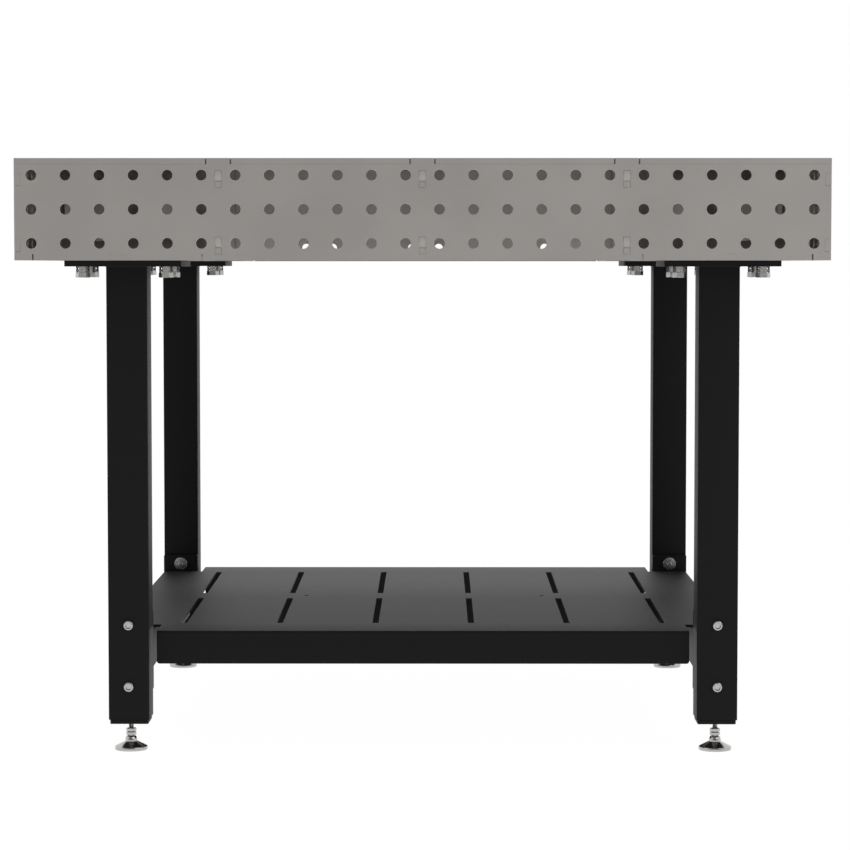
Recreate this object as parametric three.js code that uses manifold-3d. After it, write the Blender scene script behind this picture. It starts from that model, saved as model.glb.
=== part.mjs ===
// Welding table: a perforated steel table box on four bolted legs, with a slotted lower shelf.
// Millimetres, +Z up. The origin is on the floor under the middle of the table, and the front faces -Y.
import * as THREE from 'three';
import { mergeVertices } from 'three/addons/utils/BufferGeometryUtils.js';
import Module from 'manifold-3d';

const wasm = await Module();
wasm.setup();

// Table box
const TABLE_SIZE = 1200;
const TABLE_HEIGHT = 900;
const BOX_DEPTH = 150;
const PLATE = 9;
const SEAM = 0.3;

// Fixture holes: the full pattern has a pitch of 50, and these solids carry every second column
const HOLE_DIAMETER = 16;
const HOLE_SIDES = 6;
const BOLT_SIDES = 6;
const HOLE_COLUMNS = [-525, -425, -325, -225, -125, -25, 25, 125, 225, 325, 425, 525];
const PANEL_HOLE_DEPTHS = [25, 75, 125];

// Ribs under the top, in both directions
const RIB_LINES = [-300, 0, 300];
const RIB_BOTTOM = 755;
const RIB_TAB_DEPTHS = [[18.3, 43.4], [115.7, 140.8]];
const RIB_SLOT_WIDTH = 9.6;
const RIB_ARCH_BOTTOM_WIDTH = 486;
const RIB_ARCH_TOP_WIDTH = 416;
const RIB_ARCH_HEIGHT = 35;
const RIB_WINDOWS = [[331, 420, 787], [458, 563.6, 781.5]];
const RIB_WINDOW_TOP = 862;
const RIB_WINDOW_CORNER = 15;

// Tabs that lock the plates of the table box together
const TOP_TAB_WIDTH = 34.2;
const TOP_NOTCH_WIDTH = 38.4;
const CORNER_TAB_DEPTHS = [[22.1, 40.4], [118.9, 137.2]];

// Leg tubes, their flanges and their foot plates
const LEG_OFFSET = 448.5;
const LEG_WIDTH = 62;
const LEG_WALL = 3;
const LEG_BOTTOM = 50;
const FLANGE_WIDTH = 175;
const FLANGE_LENGTH = 165;
const FLANGE_THICKNESS = 9;
const FOOT_PLATE_WIDTH = 58.5;
const FOOT_PLATE_BOTTOM = 43.3;

// Corner plates that the leg flanges bolt to
const CORNER_PLATE_EDGE = 324.8;
const CORNER_PLATE_TAB_WIDTH = 24;
const RELIEF_CUTS = [[322.6, 324.8], [571.8, 574]];

// Flange bolts: M12 hexagon heads on a stack of spring washers
const FLANGE_BOLT_SPACING_X = 125;
const FLANGE_BOLT_SPACING_Y = 115;
const FLANGE_BOLT_DIAMETER = 12;
const FLANGE_BOLT_FLATS = 19;
const FLANGE_BOLT_HEAD = 7.5;
const WASHER_STACK = 9.2;
const WASHER_DIAMETER = 20.6;
const FLANGE_BOLT_TOP = 766;

// Shelf rails with an end plate at each leg
const RAIL_WIDTH = 60;
const RAIL_WALL = 3;
const RAIL_TOP = 180;
const END_PLATE_THICKNESS = 10;
const END_PLATE_BOTTOM = 88;
const END_PLATE_TOP = 211;
const END_PLATE_WINDOW = 40;

// Rail bolts: M8 round heads, washers and nuts
const RAIL_BOLT_HEIGHTS = { lower: 100.9, upper: 195.3 };
const RAIL_BOLT_DIAMETER = 8;
const RAIL_BOLT_HEAD_DIAMETER = 14.6;
const RAIL_BOLT_HEAD = 5;
const RAIL_WASHER_DIAMETER = 23;
const RAIL_WASHER = 2;
const RAIL_NUT_DIAMETER = 15;
const RAIL_NUT = 8;
const HEAD_SIDES = 8;

// Shelf tray
const SHEET = 4;
const SHELF_HALF_WIDTH = 476;
const SHELF_FLANGE_HALF_WIDTH = 407.5;
const SHELF_HALF_DEPTH = 460.6;
const SHELF_NOTCH = 382;
const SHELF_FLANGE_BOTTOM = 133.7;
const SHELF_FLANGE_CORNER = 5;
const SLOT_WIDTH = 10;
const SLOT_COLUMNS = [-375, -225, -75, 75, 225, 375];
const SLOT_ROWS = [[-361, -34], [42, 369]];
const SHELF_HOLE_DIAMETER = 8;
const SHELF_MIDDLE = 4;
const SHELF_HOLES = [[-199, SHELF_MIDDLE], [199, SHELF_MIDDLE]];

// Channel under the middle of the shelf
const BEAM_HALF_LENGTH = 395;
const BEAM_WIDTH = 50;
const BEAM_WALL = 3;

// Levelling feet: threaded stem with a ball, lock nut and swivel pad
const STEM_DIAMETER = 8;
const STEM_TOP = 95;
const BALL_HEIGHT = 14.5;
const BALL_RADIUS = 7;
const FOOT_HEX_CORNERS = 15.8;
const STEM_HEX = [22.1, 27.4];
const LOCK_NUT = [27.7, 33.2];
const PAD_RADIUS = 25;
const PAD_RIM = 5.5;
const PAD_NECK_RADIUS = 9.2;
const PAD_NECK_HEIGHT = 13;
const PAD_DOME_RADIUS = 6.6;
const PAD_DOME_TOP = 20.9;
const PAD_MOUTH_RADIUS = 5.6;
const THREAD_CLEARANCE = 0.3;
const STEM_SIDES = 8;
const PAD_SIDES = 12;
const BALL_STEPS = 4;
const SOCKET_SLACK = 1.08;

const HALF = TABLE_SIZE / 2;
const INNER = HALF - PLATE;
const PANEL_TOP = TABLE_HEIGHT - PLATE;
const BOX_BOTTOM = TABLE_HEIGHT - BOX_DEPTH;
const CORNER_PLATE_TOP = BOX_BOTTOM + PLATE;
const FLANGE_BOTTOM = BOX_BOTTOM - FLANGE_THICKNESS;
const BEYOND = 5;

// Materials
const steel = { color: 0x8f8b87, roughness: 0.45, metalness: 0.6 };
const blackPaint = { color: 0x1c1c1c, roughness: 0.6, metalness: 0.1 };
const zinc = { color: 0xb6b3b0, roughness: 0.3, metalness: 0.9 };

// Shape helpers

/** The middle of a [low, high] pair. */
function middle([low, high]) {
  return (low + high) / 2;
}

/** The [low, high] heights of a feature between two depths below the table top, widened by a gap. */
function heightsOf([upper, lower], gap = 0) {
  return [TABLE_HEIGHT - lower - gap, TABLE_HEIGHT - upper + gap];
}

/** A closed geometry as a solid that can be joined and cut. */
function solidOf(geometry) {
  const bare = geometry.clone();
  bare.deleteAttribute('normal');
  bare.deleteAttribute('uv');
  const merged = mergeVertices(bare, 1e-4);
  const vertProperties = merged.attributes.position.array;
  const triVerts = Uint32Array.from(merged.index.array);
  return new wasm.Manifold(new wasm.Mesh({ numProp: 3, vertProperties, triVerts }));
}

/** A joined and cut solid as a flat-shaded geometry. */
function geometryOf(solid) {
  const mesh = solid.getMesh();
  const indexed = new THREE.BufferGeometry();
  indexed.setAttribute('position', new THREE.BufferAttribute(mesh.vertProperties, 3));
  indexed.setIndex(new THREE.BufferAttribute(mesh.triVerts, 1));
  const geometry = indexed.toNonIndexed();
  geometry.computeVertexNormals();
  return geometry;
}

/** A box between [low, high] pairs. */
function block(x, y, z) {
  const geometry = new THREE.BoxGeometry(x[1] - x[0], y[1] - y[0], z[1] - z[0]);
  geometry.translate(middle(x), middle(y), middle(z));
  return solidOf(geometry);
}

/** A regular upright prism about (x, y): radius is at its corners, and one corner points along +X. */
function prism(sides, radius, z, x = 0, y = 0) {
  const geometry = new THREE.CylinderGeometry(radius, radius, z[1] - z[0], sides);
  geometry.rotateX(Math.PI / 2);
  geometry.rotateZ(Math.PI / 2);
  geometry.translate(x, y, middle(z));
  return solidOf(geometry);
}

/** A regular prism lying along Y about (x, z). */
function lyingPrism(sides, radius, y, x, z) {
  const geometry = new THREE.CylinderGeometry(radius, radius, y[1] - y[0], sides);
  geometry.translate(x, middle(y), z);
  return solidOf(geometry);
}

/** The corner radius of a polygon hole that a round piece of this diameter fits through. */
function holeRadius(diameter, sides) {
  return diameter / 2 / Math.cos(Math.PI / sides);
}

/** A solid of revolution about Z from [radius, height] points. */
function turned(profile, sides) {
  const points = profile.map(([radius, height]) => new THREE.Vector2(radius, height));
  const geometry = new THREE.LatheGeometry(points, sides);
  geometry.rotateX(Math.PI / 2);
  return solidOf(geometry);
}

/** Points of an arc in a lathe profile, as [radius, height] pairs. */
function arc(radius, height, from, to, steps) {
  return Array.from({ length: steps + 1 }, (_, step) => {
    const angle = from + ((to - from) * step) / steps;
    return [radius * Math.cos(angle), height + radius * Math.sin(angle)];
  });
}

/** An outline with polygon holes, extruded from low to high along Z. */
function cutSheet(outline, holes, [low, high]) {
  const shape = new THREE.Shape(outline.map(([x, y]) => new THREE.Vector2(x, y)));
  shape.holes = holes.map((hole) => new THREE.Path(hole.map(([x, y]) => new THREE.Vector2(x, y))));
  const geometry = new THREE.ExtrudeGeometry(shape, { depth: high - low, bevelEnabled: false });
  geometry.translate(0, 0, low);
  return geometry;
}

/** The corners of a rectangle between [low, high] pairs. */
function rectangle(x, y) {
  return [[x[0], y[0]], [x[1], y[0]], [x[1], y[1]], [x[0], y[1]]];
}

/** The corners of a round hole's polygon about (x, y). */
function roundHole(x, y, diameter, sides) {
  const radius = holeRadius(diameter, sides);
  return Array.from({ length: sides }, (_, corner) => {
    const angle = (2 * Math.PI * corner) / sides;
    return [x + radius * Math.cos(angle), y + radius * Math.sin(angle)];
  });
}

/** The first solid without all the others. */
function without(solid, cuts) {
  return cuts.reduce((rest, cut) => rest.subtract(cut), solid);
}

/** All the solids joined. */
function joined(solids) {
  return solids.reduce((whole, piece) => whole.add(piece));
}

// Pieces of the table box. Panels and ribs are drawn along X and turned into place.

/** The top plate, with a notch in its edge for each panel tab. */
function topPlate() {
  const holes = HOLE_COLUMNS.flatMap((x) =>
    HOLE_COLUMNS.map((y) => roundHole(x, y, HOLE_DIAMETER, HOLE_SIDES)));
  const thickness = [PANEL_TOP, TABLE_HEIGHT];
  const plate = solidOf(cutSheet(rectangle([-HALF, HALF], [-HALF, HALF]), holes, thickness));
  const notches = RIB_LINES.flatMap((line) => {
    const along = [line - TOP_NOTCH_WIDTH / 2, line + TOP_NOTCH_WIDTH / 2];
    const height = [PANEL_TOP - BEYOND, TABLE_HEIGHT + BEYOND];
    const near = [-HALF - BEYOND, -INNER + SEAM];
    const far = [INNER - SEAM, HALF + BEYOND];
    const frontAndRear = [block(along, near, height), block(along, far, height)];
    const leftAndRight = [block(near, along, height), block(far, along, height)];
    return [...frontAndRear, ...leftAndRight];
  });
  return without(plate, notches);
}

/** One side of the box, with its outer face at y = -HALF. Full panels take the tabs of tabbed ones. Along
 *  its bottom are relief cuts and a notch for each corner plate's tab. */
function sidePanel(tabbed) {
  const half = tabbed ? INNER : HALF;
  const holes = HOLE_COLUMNS.flatMap((x) =>
    PANEL_HOLE_DEPTHS.map((depth) => roundHole(x, TABLE_HEIGHT - depth, HOLE_DIAMETER, HOLE_SIDES)));
  const sheet = cutSheet(rectangle([-half, half], [BOX_BOTTOM, PANEL_TOP]), holes, [0, PLATE]);
  sheet.rotateX(Math.PI / 2);
  sheet.translate(0, -INNER, 0);
  const through = [-HALF - BEYOND, -INNER + BEYOND];
  const thickness = [-HALF, -INNER];
  const tabHeight = [PANEL_TOP - BEYOND, TABLE_HEIGHT];
  const topTabs = RIB_LINES.map((line) =>
    block([line - TOP_TAB_WIDTH / 2, line + TOP_TAB_WIDTH / 2], thickness, tabHeight));
  const ribSlots = RIB_LINES.flatMap((line) => {
    const along = [line - RIB_SLOT_WIDTH / 2, line + RIB_SLOT_WIDTH / 2];
    return RIB_TAB_DEPTHS.map((depth) => block(along, through, heightsOf(depth)));
  });
  const tabHalf = CORNER_PLATE_TAB_WIDTH / 2 + SEAM;
  const tabNotch = [LEG_OFFSET - tabHalf, LEG_OFFSET + tabHalf];
  const bottomCuts = [tabNotch, ...RELIEF_CUTS].flatMap(([low, high]) => [[low, high], [-high, -low]])
    .map((along) => block(along, through, [BOX_BOTTOM - BEYOND, CORNER_PLATE_TOP + SEAM]));
  const panel = without(joined([solidOf(sheet), ...topTabs]), [...ribSlots, ...bottomCuts]);
  const ends = CORNER_TAB_DEPTHS.flatMap((depth) => [-1, 1].map((side) => {
    const height = heightsOf(depth, tabbed ? 0 : SEAM);
    const reach = tabbed ? [INNER - BEYOND, HALF] : [INNER - SEAM, HALF + BEYOND];
    const along = side > 0 ? reach : [-reach[1], -reach[0]];
    return block(along, tabbed ? thickness : through, height);
  }));
  return tabbed ? joined([panel, ...ends]) : without(panel, ends);
}

/** A cut through a rib, from its outline as [x, height] points. */
function ribCut(outline) {
  const cut = cutSheet(outline, [], [-PLATE, PLATE]);
  cut.rotateX(Math.PI / 2);
  return solidOf(cut);
}

/** A window with chamfered corners between low and high along the rib, from a bottom height. */
function ribWindow(low, high, bottom) {
  const corner = RIB_WINDOW_CORNER;
  return ribCut([
    [low + corner, bottom], [high - corner, bottom], [high, bottom + corner], [high, RIB_WINDOW_TOP - corner],
    [high - corner, RIB_WINDOW_TOP], [low + corner, RIB_WINDOW_TOP], [low, RIB_WINDOW_TOP - corner],
    [low, bottom + corner],
  ]);
}

/** A rib along X, halved at each crossing from above or from below, with an arch and windows. */
function rib(halvedFromTop) {
  const thickness = [-PLATE / 2, PLATE / 2];
  const body = block([-INNER, INNER], thickness, [RIB_BOTTOM, PANEL_TOP]);
  const tabs = RIB_TAB_DEPTHS.map((depth) => block([-HALF, HALF], thickness, heightsOf(depth, -SEAM)));
  const windows = RIB_WINDOWS.flatMap(([low, high, bottom]) =>
    [ribWindow(low, high, bottom), ribWindow(-high, -low, bottom)]);
  const wide = RIB_ARCH_BOTTOM_WIDTH / 2;
  const narrow = RIB_ARCH_TOP_WIDTH / 2;
  const archTop = RIB_BOTTOM + RIB_ARCH_HEIGHT;
  const below = RIB_BOTTOM - BEYOND;
  const arch = ribCut([
    [-wide, below], [wide, below], [wide, RIB_BOTTOM],
    [narrow, archTop], [-narrow, archTop], [-wide, RIB_BOTTOM],
  ]);
  const crossing = (RIB_BOTTOM + PANEL_TOP) / 2;
  const halving = halvedFromTop ? [crossing - SEAM, PANEL_TOP + BEYOND] : [RIB_BOTTOM - BEYOND, crossing];
  const notches = RIB_LINES.map((line) =>
    block([line - PLATE / 2 - SEAM, line + PLATE / 2 + SEAM], [-PLATE, PLATE], halving));
  return without(joined([body, ...tabs]), [arch, ...windows, ...notches]);
}

/** A corner plate in the quarter given by the signs of x and y. It has a tab into each side panel and a
 *  threaded hole for each bolt. */
function cornerPlate(signX, signY) {
  const near = CORNER_PLATE_EDGE;
  const low = LEG_OFFSET - CORNER_PLATE_TAB_WIDTH / 2;
  const high = LEG_OFFSET + CORNER_PLATE_TAB_WIDTH / 2;
  const corner = INNER - SEAM;
  const edge = [[near, corner], [low, corner], [low, HALF], [high, HALF], [high, corner]];
  const outline = [[near, near], ...edge, [corner, corner]];
  const back = edge.map(([along, across]) => [across, along]).reverse();
  const place = ([x, y]) => [signX * x, signY * y];
  const holes = [-1, 1].flatMap((i) => [-1, 1].map((j) => {
    const x = LEG_OFFSET + (i * FLANGE_BOLT_SPACING_X) / 2;
    const y = LEG_OFFSET + (j * FLANGE_BOLT_SPACING_Y) / 2;
    return roundHole(signX * x, signY * y, FLANGE_BOLT_DIAMETER + 2 * THREAD_CLEARANCE, BOLT_SIDES);
  }));
  return solidOf(cutSheet([...outline, ...back].map(place), holes, [BOX_BOTTOM, CORNER_PLATE_TOP]));
}

// Pieces of a leg, drawn about the leg's axis with the outside of the table towards -Y.

/** The leg: square tube, bolted flange and foot plate, welded into one piece. */
function leg() {
  const outer = LEG_WIDTH / 2;
  const inner = outer - LEG_WALL;
  const tube = block([-outer, outer], [-outer, outer], [LEG_BOTTOM, FLANGE_BOTTOM]);
  const hollow = block([-inner, inner], [-inner, inner], [LEG_BOTTOM, FLANGE_BOTTOM]);
  const halfWidth = FLANGE_WIDTH / 2;
  const halfLength = FLANGE_LENGTH / 2;
  const flange = block([-halfWidth, halfWidth], [-halfLength, halfLength], [FLANGE_BOTTOM, BOX_BOTTOM]);
  const foot = FOOT_PLATE_WIDTH / 2;
  const footPlate = block([-foot, foot], [-foot, foot], [FOOT_PLATE_BOTTOM, LEG_BOTTOM]);
  const boltHoles = [-1, 1].flatMap((i) => [-1, 1].map((j) => {
    const x = (i * FLANGE_BOLT_SPACING_X) / 2;
    const y = (j * FLANGE_BOLT_SPACING_Y) / 2;
    const radius = holeRadius(FLANGE_BOLT_DIAMETER + 1, BOLT_SIDES);
    return prism(BOLT_SIDES, radius, [FLANGE_BOTTOM - BEYOND, BOX_BOTTOM + BEYOND], x, y);
  }));
  const railHoleRadius = holeRadius(RAIL_BOLT_DIAMETER + 1, BOLT_SIDES);
  const railHoles = Object.values(RAIL_BOLT_HEIGHTS).map((height) =>
    lyingPrism(BOLT_SIDES, railHoleRadius, [-LEG_WIDTH, LEG_WIDTH], 0, height));
  const stemRadius = holeRadius(STEM_DIAMETER + 2 * THREAD_CLEARANCE, STEM_SIDES);
  const stemHole = prism(STEM_SIDES, stemRadius, [FOOT_PLATE_BOTTOM - BEYOND, LEG_BOTTOM + BEYOND]);
  return without(joined([tube.subtract(hollow), flange, footPlate]), [...boltHoles, ...railHoles, stemHole]);
}

/** A flange bolt with its washer stack, screwed into the corner plate. */
function flangeBolt(x, y) {
  const stackBottom = FLANGE_BOTTOM - WASHER_STACK;
  const headRadius = holeRadius(FLANGE_BOLT_FLATS, 6);
  const head = prism(6, headRadius, [stackBottom - FLANGE_BOLT_HEAD, stackBottom], x, y);
  const stack = prism(BOLT_SIDES, WASHER_DIAMETER / 2, [stackBottom, FLANGE_BOTTOM], x, y);
  const shank = prism(BOLT_SIDES, FLANGE_BOLT_DIAMETER / 2, [FLANGE_BOTTOM - BEYOND, FLANGE_BOLT_TOP], x, y);
  return joined([head, stack, shank]);
}

/** A rail bolt through the leg and the rail's end plate, with its washer and nut. */
function railBolt(height) {
  const face = LEG_WIDTH / 2;
  const washerFace = face + END_PLATE_THICKNESS;
  const nutFace = washerFace + RAIL_WASHER;
  const headRadius = RAIL_BOLT_HEAD_DIAMETER / 2;
  const head = lyingPrism(HEAD_SIDES, headRadius, [-face - RAIL_BOLT_HEAD, -face], 0, height);
  const shankRadius = RAIL_BOLT_DIAMETER / 2;
  const shank = lyingPrism(BOLT_SIDES, shankRadius, [-face - BEYOND / 2, nutFace + BEYOND], 0, height);
  const washer = lyingPrism(HEAD_SIDES, RAIL_WASHER_DIAMETER / 2, [washerFace, nutFace], 0, height);
  const nut = lyingPrism(6, RAIL_NUT_DIAMETER / 2, [nutFace, nutFace + RAIL_NUT], 0, height);
  return joined([head, shank, washer, nut]);
}

/** The foot's threaded stem: ball, neck, hexagon for the spanner, and thread. */
function footStem() {
  const radius = STEM_DIAMETER / 2;
  const neckAngle = Math.acos(radius / BALL_RADIUS);
  const ball = arc(BALL_RADIUS, BALL_HEIGHT, -Math.PI / 2, neckAngle, BALL_STEPS).slice(1);
  const profile = [[0, BALL_HEIGHT - BALL_RADIUS], ...ball, [radius, STEM_TOP], [0, STEM_TOP]];
  return joined([turned(profile, STEM_SIDES), prism(6, FOOT_HEX_CORNERS / 2, STEM_HEX)]);
}

/** The lock nut on the stem. */
function footNut() {
  const bore = holeRadius(STEM_DIAMETER + 2 * THREAD_CLEARANCE, STEM_SIDES);
  const beyond = [LOCK_NUT[0] - BEYOND, LOCK_NUT[1] + BEYOND];
  return prism(6, FOOT_HEX_CORNERS / 2, LOCK_NUT).subtract(prism(STEM_SIDES, bore, beyond));
}

/** The swivel pad: a low cone with a socket that holds the stem's ball, and clears it between its corners. */
function footPad() {
  const socket = (BALL_RADIUS + THREAD_CLEARANCE) * SOCKET_SLACK;
  const mouthAngle = Math.acos(PAD_MOUTH_RADIUS / socket);
  const inside = arc(socket, BALL_HEIGHT, mouthAngle, -Math.PI / 2, BALL_STEPS).slice(0, -1);
  const outside = [[0, 0], [PAD_RADIUS, 0], [PAD_RADIUS, PAD_RIM], [PAD_NECK_RADIUS, PAD_NECK_HEIGHT]];
  const dome = [[PAD_DOME_RADIUS, PAD_DOME_TOP], [PAD_MOUTH_RADIUS, PAD_DOME_TOP]];
  return turned([...outside, ...dome, ...inside, [0, BALL_HEIGHT - socket]], PAD_SIDES);
}

// Shelf and rails

/** A shelf rail along Y about x = 0: square tube with an end plate at each leg. */
function rail() {
  const outer = RAIL_WIDTH / 2;
  const inner = outer - RAIL_WALL;
  const end = LEG_OFFSET - LEG_WIDTH / 2;
  const tubeEnd = end - END_PLATE_THICKNESS;
  const centre = RAIL_TOP - outer;
  const tube = block([-outer, outer], [-tubeEnd, tubeEnd], [RAIL_TOP - RAIL_WIDTH, RAIL_TOP]);
  const hollow = block([-inner, inner], [-tubeEnd, tubeEnd], [centre - inner, centre + inner]);
  const endPlates = [[-end, -tubeEnd], [tubeEnd, end]].map((thickness) =>
    block([-LEG_WIDTH / 2, LEG_WIDTH / 2], thickness, [END_PLATE_BOTTOM, END_PLATE_TOP]));
  const half = END_PLATE_WINDOW / 2;
  const window = block([-half, half], [-end - BEYOND, end + BEYOND], [centre - half, centre + half]);
  const holeSize = holeRadius(RAIL_BOLT_DIAMETER + 1, BOLT_SIDES);
  const boltHoles = Object.values(RAIL_BOLT_HEIGHTS).map((height) =>
    lyingPrism(BOLT_SIDES, holeSize, [-end - BEYOND, end + BEYOND], 0, height));
  return without(joined([tube.subtract(hollow), ...endPlates]), [window, ...boltHoles]);
}

/** The shelf: a slotted sheet with its front and rear edges bent down. */
function shelf() {
  const wide = SHELF_HALF_WIDTH;
  const narrow = SHELF_FLANGE_HALF_WIDTH;
  const deep = SHELF_HALF_DEPTH;
  const notch = SHELF_NOTCH;
  const side = [[narrow, -notch], [wide, -notch], [wide, notch], [narrow, notch]];
  const right = [[narrow, -deep], ...side, [narrow, deep]];
  const left = right.map(([x, y]) => [-x, y]).reverse();
  const sheetTop = RAIL_TOP + SHEET;
  const through = [RAIL_TOP - BEYOND, sheetTop + BEYOND];
  const slots = SLOT_COLUMNS.flatMap((x) =>
    SLOT_ROWS.map((row) => block([x - SLOT_WIDTH / 2, x + SLOT_WIDTH / 2], row, through)));
  const holes = SHELF_HOLES.map(([x, y]) =>
    prism(BOLT_SIDES, holeRadius(SHELF_HOLE_DIAMETER, BOLT_SIDES), through, x, y));
  const sheet = solidOf(cutSheet([...right, ...left], [], [RAIL_TOP, sheetTop]));
  const corner = SHELF_FLANGE_CORNER;
  const bottom = SHELF_FLANGE_BOTTOM;
  const flangeOutline = [
    [-narrow + corner, bottom], [narrow - corner, bottom], [narrow, bottom + corner], [narrow, sheetTop],
    [-narrow, sheetTop], [-narrow, bottom + corner],
  ];
  const flanges = [-deep + SHEET, deep].map((face) => {
    const flange = cutSheet(flangeOutline, [], [0, SHEET]);
    flange.rotateX(Math.PI / 2);
    flange.translate(0, face, 0);
    return solidOf(flange);
  });
  return without(joined([sheet, ...flanges]), [...slots, ...holes]);
}

/** The channel that stiffens the shelf, open below, as deep as the shelf's bent edges. */
function shelfBeam() {
  const along = [-BEAM_HALF_LENGTH, BEAM_HALF_LENGTH];
  const across = [SHELF_MIDDLE - BEAM_WIDTH / 2, SHELF_MIDDLE + BEAM_WIDTH / 2];
  const outside = block(along, across, [SHELF_FLANGE_BOTTOM, RAIL_TOP]);
  const beyond = [-BEAM_HALF_LENGTH - BEYOND, BEAM_HALF_LENGTH + BEYOND];
  const inside = [across[0] + BEAM_WALL, across[1] - BEAM_WALL];
  return outside.subtract(block(beyond, inside, [SHELF_FLANGE_BOTTOM - BEYOND, RAIL_TOP - BEAM_WALL]));
}

// Assembly

const QUARTER_TURN = Math.PI / 2;
const table = new THREE.Group();

/** One named piece, added to its group. */
function add(group, name, solid, finish, x = 0, y = 0, turn = 0) {
  const mesh = new THREE.Mesh(geometryOf(solid), new THREE.MeshStandardMaterial(finish));
  mesh.name = name;
  mesh.position.set(x, y, 0);
  mesh.rotation.z = turn;
  group.add(mesh);
}

add(table, 'top_plate', topPlate(), steel);
add(table, 'front_panel', sidePanel(false), steel);
add(table, 'rear_panel', sidePanel(false), steel, 0, 0, 2 * QUARTER_TURN);
add(table, 'right_panel', sidePanel(true), steel, 0, 0, QUARTER_TURN);
add(table, 'left_panel', sidePanel(true), steel, 0, 0, -QUARTER_TURN);
['left', 'centre', 'right'].forEach((place, index) => {
  add(table, `rib_${place}`, rib(false), steel, RIB_LINES[index], 0, QUARTER_TURN);
});
['front', 'centre', 'rear'].forEach((place, index) => {
  add(table, `cross_rib_${place}`, rib(true), steel, 0, RIB_LINES[index]);
});
add(table, 'shelf', shelf(), blackPaint);
add(table, 'shelf_beam', shelfBeam(), blackPaint);

for (const [sideX, signX] of [['left', -1], ['right', 1]]) {
  add(table, `rail_${sideX}`, rail(), blackPaint, signX * LEG_OFFSET);
  for (const [sideY, signY] of [['front', -1], ['rear', 1]]) {
    const corner = `${sideY}_${sideX}`;
    add(table, `corner_plate_${corner}`, cornerPlate(signX, signY), steel);
    const group = new THREE.Group();
    group.position.set(signX * LEG_OFFSET, signY * LEG_OFFSET, 0);
    group.rotation.z = signY < 0 ? 0 : 2 * QUARTER_TURN;
    add(group, `leg_${corner}`, leg(), blackPaint);
    [[-1, -1], [1, -1], [-1, 1], [1, 1]].forEach(([i, j], index) => {
      const bolt = flangeBolt((i * FLANGE_BOLT_SPACING_X) / 2, (j * FLANGE_BOLT_SPACING_Y) / 2);
      add(group, `flange_bolt_${corner}_${index + 1}`, bolt, zinc);
    });
    for (const [place, height] of Object.entries(RAIL_BOLT_HEIGHTS)) {
      add(group, `rail_bolt_${corner}_${place}`, railBolt(height), zinc);
    }
    add(group, `foot_stem_${corner}`, footStem(), zinc);
    add(group, `foot_nut_${corner}`, footNut(), zinc);
    add(group, `foot_pad_${corner}`, footPad(), zinc);
    table.add(group);
  }
}

export default table;
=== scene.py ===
"""The looks of a welding table: perforated steel box, bolted black legs, slotted shelf and levelling feet.

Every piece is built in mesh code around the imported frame, in metres, +Z up, with the front towards -Y.
"""

import math

import bmesh
import bpy
from mathutils import Matrix, Vector
from mathutils.geometry import delaunay_2d_cdt


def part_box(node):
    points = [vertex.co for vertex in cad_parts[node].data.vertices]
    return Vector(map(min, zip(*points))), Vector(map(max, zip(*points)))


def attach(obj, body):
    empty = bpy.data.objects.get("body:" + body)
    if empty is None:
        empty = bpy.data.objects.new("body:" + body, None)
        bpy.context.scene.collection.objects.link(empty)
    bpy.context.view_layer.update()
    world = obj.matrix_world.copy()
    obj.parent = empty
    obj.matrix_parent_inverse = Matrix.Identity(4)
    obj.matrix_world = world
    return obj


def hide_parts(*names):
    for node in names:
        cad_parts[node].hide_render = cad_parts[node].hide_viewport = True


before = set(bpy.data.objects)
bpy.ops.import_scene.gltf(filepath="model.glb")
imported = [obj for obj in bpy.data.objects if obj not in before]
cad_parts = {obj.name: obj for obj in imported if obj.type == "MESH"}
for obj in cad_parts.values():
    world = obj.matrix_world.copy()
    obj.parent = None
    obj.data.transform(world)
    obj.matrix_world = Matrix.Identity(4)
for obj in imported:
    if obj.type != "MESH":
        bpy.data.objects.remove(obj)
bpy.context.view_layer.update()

MM = 0.001
CORNERS = {"front_left": (-1, -1), "front_right": (1, -1), "rear_left": (-1, 1), "rear_right": (1, 1)}

# Places and sizes that the frame gives
TOP_LOW, TOP_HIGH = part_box("top_plate")
HALF = TOP_HIGH.x
TOP = TOP_HIGH.z
PLATE = TOP_HIGH.z - TOP_LOW.z
INNER = HALF - PLATE
PANEL_TOP = TOP_LOW.z
BOX_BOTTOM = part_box("front_panel")[0].z
RIB_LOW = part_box("cross_rib_centre")[0]
RIB_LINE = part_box("rib_right")[0].x + PLATE / 2
RIB_LINES = [-RIB_LINE, 0.0, RIB_LINE]

# Fixture holes
HOLE_PITCH = 50 * MM
HOLE_RADIUS = 8 * MM
FIXTURE_HOLE_SIDES = 16
SMALL_HOLE_SIDES = 24
HOLE_RIM = 0.45 * MM
HOLE_COUNT = round(2 * HALF / HOLE_PITCH)
HOLE_COLUMNS = [(column + 0.5) * HOLE_PITCH - HALF for column in range(HOLE_COUNT)]
PANEL_HOLE_DEPTHS = [25 * MM, 75 * MM, 125 * MM]

# Joints between the plates of the box
EDGE = 0.35 * MM
SEAM_EDGE = 0.15 * MM
SEAM = 0.12 * MM
TOP_TAB_WIDTH = 34.2 * MM
TOP_NOTCH_WIDTH = 38.4 * MM
RIB_SLOT_WIDTH = 9.5 * MM
RIB_TAB_DEPTHS = [(18.3 * MM, 43.4 * MM), (115.7 * MM, 140.8 * MM)]
RIB_TAB_SPLIT = 0.36
RIB_TAB_RIDGE = 0.7
RIB_TAB_HOLLOW = 1.9 * MM
CORNER_TAB_DEPTHS = [(22.1 * MM, 40.4 * MM), (118.9 * MM, 137.2 * MM)]
CORNER_PLATE_EDGE = 324.8 * MM
CORNER_PLATE_TAB = 24 * MM
RELIEF_CUTS = [(322.6 * MM, 324.8 * MM), (571.8 * MM, 574.0 * MM)]

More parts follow.
